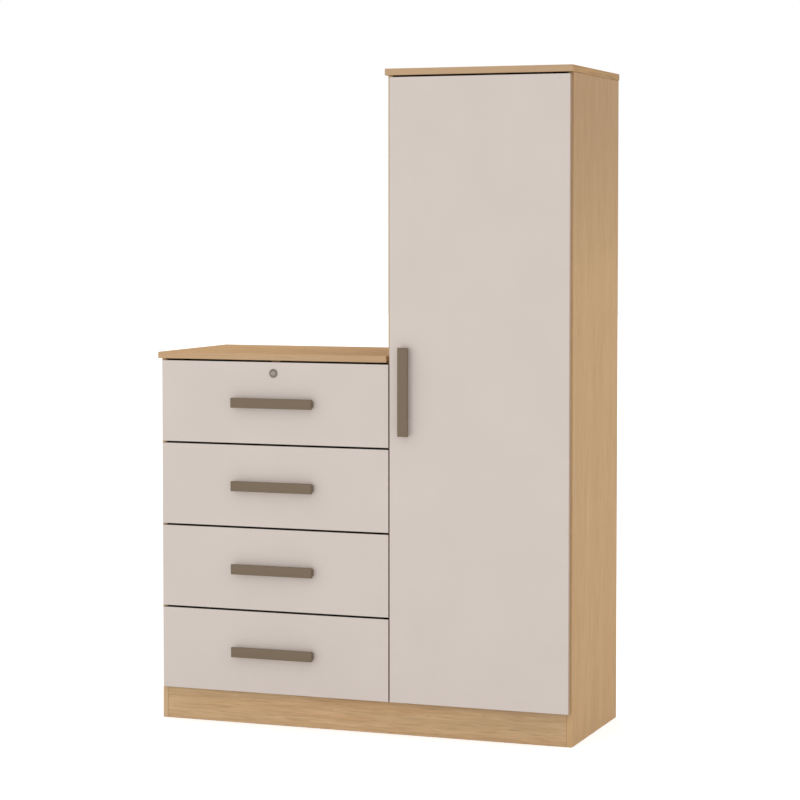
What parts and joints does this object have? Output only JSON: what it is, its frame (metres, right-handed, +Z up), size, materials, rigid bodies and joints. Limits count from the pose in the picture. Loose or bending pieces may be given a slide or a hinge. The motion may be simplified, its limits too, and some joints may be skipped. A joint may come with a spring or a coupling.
{
  "type": "chifforobe",
  "caption": "Chifforobe of faced board: a low chest of sliding drawers with bar handles and a lock, joined to a tall wardrobe with a hinged door, shelf and rail.",
  "frame": {"origin": "on the floor, at the middle of the box round the whole piece, handles included", "axes": "+Z up; -Y is the front with the door and drawers; +X is to the right as seen from the front"},
  "size_m": [1.2, 0.4796, 1.8],
  "materials": {
    "oak_board": "satin light oak grain on faced board",
    "greige_front": "satin plain greige faced board",
    "drawer_board": "plain off-white faced board",
    "back_sheet": "lacquered hardboard",
    "taupe_handle": "satin taupe moulding",
    "runner_plastic": "smooth moulded plastic",
    "fitting_steel": "nickel plated steel",
    "lock_metal": "satin nickel",
    "rail_chrome": "bright chrome"
  },
  "bodies": {
    "carcass": {"left_side_panel": "oak_board", "right_side_panel": "oak_board", "middle_panel": "oak_board", "wardrobe_top": "oak_board", "chest_top": "oak_board", "chest_base": "oak_board", "wardrobe_base": "oak_board", "plinth": "oak_board", "hat_shelf": "oak_board", "chest_back": "back_sheet", "wardrobe_back": "back_sheet", "hanging_rail": "rail_chrome", "rail_socket_left": "fitting_steel", "rail_socket_right": "fitting_steel", "hinge_arm_1": "fitting_steel", "hinge_arm_2": "fitting_steel", "hinge_arm_3": "fitting_steel", "drawer_1_runner_left": "runner_plastic", "drawer_1_runner_right": "runner_plastic", "drawer_2_runner_left": "runner_plastic", "drawer_2_runner_right": "runner_plastic", "drawer_3_runner_left": "runner_plastic", "drawer_3_runner_right": "runner_plastic", "drawer_4_runner_left": "runner_plastic", "drawer_4_runner_right": "runner_plastic", "lock_strike": "fitting_steel"},
    "door": {"door": "greige_front", "door_handle": "taupe_handle", "hinge_cup_1": "fitting_steel", "hinge_cup_2": "fitting_steel", "hinge_cup_3": "fitting_steel"},
    "drawer_1": {"drawer_1_front": "greige_front", "drawer_1_handle": "taupe_handle", "drawer_1_side_left": "drawer_board", "drawer_1_side_right": "drawer_board", "drawer_1_back": "drawer_board", "drawer_1_bottom": "back_sheet", "lock_barrel": "lock_metal"},
    "drawer_2": {"drawer_2_front": "greige_front", "drawer_2_handle": "taupe_handle", "drawer_2_side_left": "drawer_board", "drawer_2_side_right": "drawer_board", "drawer_2_back": "drawer_board", "drawer_2_bottom": "back_sheet"},
    "drawer_3": {"drawer_3_front": "greige_front", "drawer_3_handle": "taupe_handle", "drawer_3_side_left": "drawer_board", "drawer_3_side_right": "drawer_board", "drawer_3_back": "drawer_board", "drawer_3_bottom": "back_sheet"},
    "drawer_4": {"drawer_4_front": "greige_front", "drawer_4_handle": "taupe_handle", "drawer_4_side_left": "drawer_board", "drawer_4_side_right": "drawer_board", "drawer_4_back": "drawer_board", "drawer_4_bottom": "back_sheet"},
    "lock": {"lock_plug": "lock_metal", "lock_cam": "lock_metal"}
  },
  "joints": [
    {"name": "drawer_1_slide", "type": "slide", "parent": "carcass", "child": "drawer_1", "axis": [0, -1, 0], "range_m": [0, 0.32]},
    {"name": "drawer_2_slide", "type": "slide", "parent": "carcass", "child": "drawer_2", "axis": [0, -1, 0], "range_m": [0, 0.32]},
    {"name": "drawer_3_slide", "type": "slide", "parent": "carcass", "child": "drawer_3", "axis": [0, -1, 0], "range_m": [0, 0.32]},
    {"name": "drawer_4_slide", "type": "slide", "parent": "carcass", "child": "drawer_4", "axis": [0, -1, 0], "range_m": [0, 0.32]},
    {"name": "door_hinge", "type": "hinge", "parent": "carcass", "child": "door", "pos_m": [0.5905, -0.20915, 0.9335], "axis": [0, 0, 1], "range_deg": [0, 110]},
    {"name": "lock_turn", "type": "hinge", "parent": "drawer_1", "child": "lock", "pos_m": [-0.2505, -0.21685, 0.9755], "axis": [0, 1, 0], "range_deg": [0, 90]}
  ]
}
